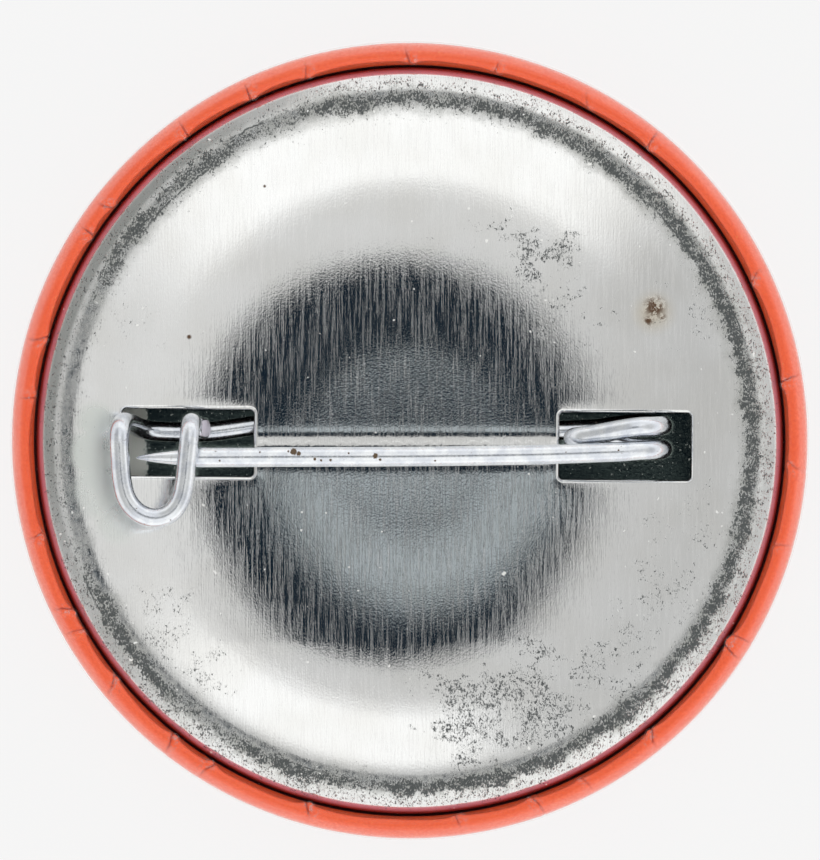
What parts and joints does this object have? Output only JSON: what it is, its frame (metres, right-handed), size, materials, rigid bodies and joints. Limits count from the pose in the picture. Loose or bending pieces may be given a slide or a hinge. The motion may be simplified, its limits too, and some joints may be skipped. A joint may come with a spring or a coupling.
{
  "type": "button badge",
  "caption": "Round pin-back button badge: domed face with a folded-over paper and film rim, a crimped metal back plate and a spring wire pin with coil and catch.",
  "frame": {"origin": "centre of the badge's face, where it touches the surface that it lies on", "axes": "+Z out of the back, towards the pin; +X along the pin from its catch to its coil; +Y across the pin, away from the catch's open side"},
  "size_m": [0.0382, 0.0382, 0.0068],
  "materials": {
    "tinplate": "bright tinplate with fine rolling lines, dulled in specks round its bead",
    "printed_paper": "plain printed orange-red",
    "clear_film": "clear, glossy",
    "pin_wire": "bright zinc plating with a few rust spots"
  },
  "bodies": {
    "badge": {"front_shell": "tinplate", "printed_paper": "printed_paper", "clear_film": "clear_film", "back_plate": "tinplate", "pin_base_and_catch": "pin_wire", "spring_coil": "pin_wire"},
    "arm": {"pin_arm": "pin_wire"}
  },
  "joints": [
    {"name": "pin_opening", "type": "hinge", "parent": "badge", "child": "arm", "pos_m": [0.0109, -0.0001, 0.0035], "axis": [-0.763, -0.0896, 0.6402], "range_deg": [0, 75], "deforming": ["spring_coil"]}
  ]
}
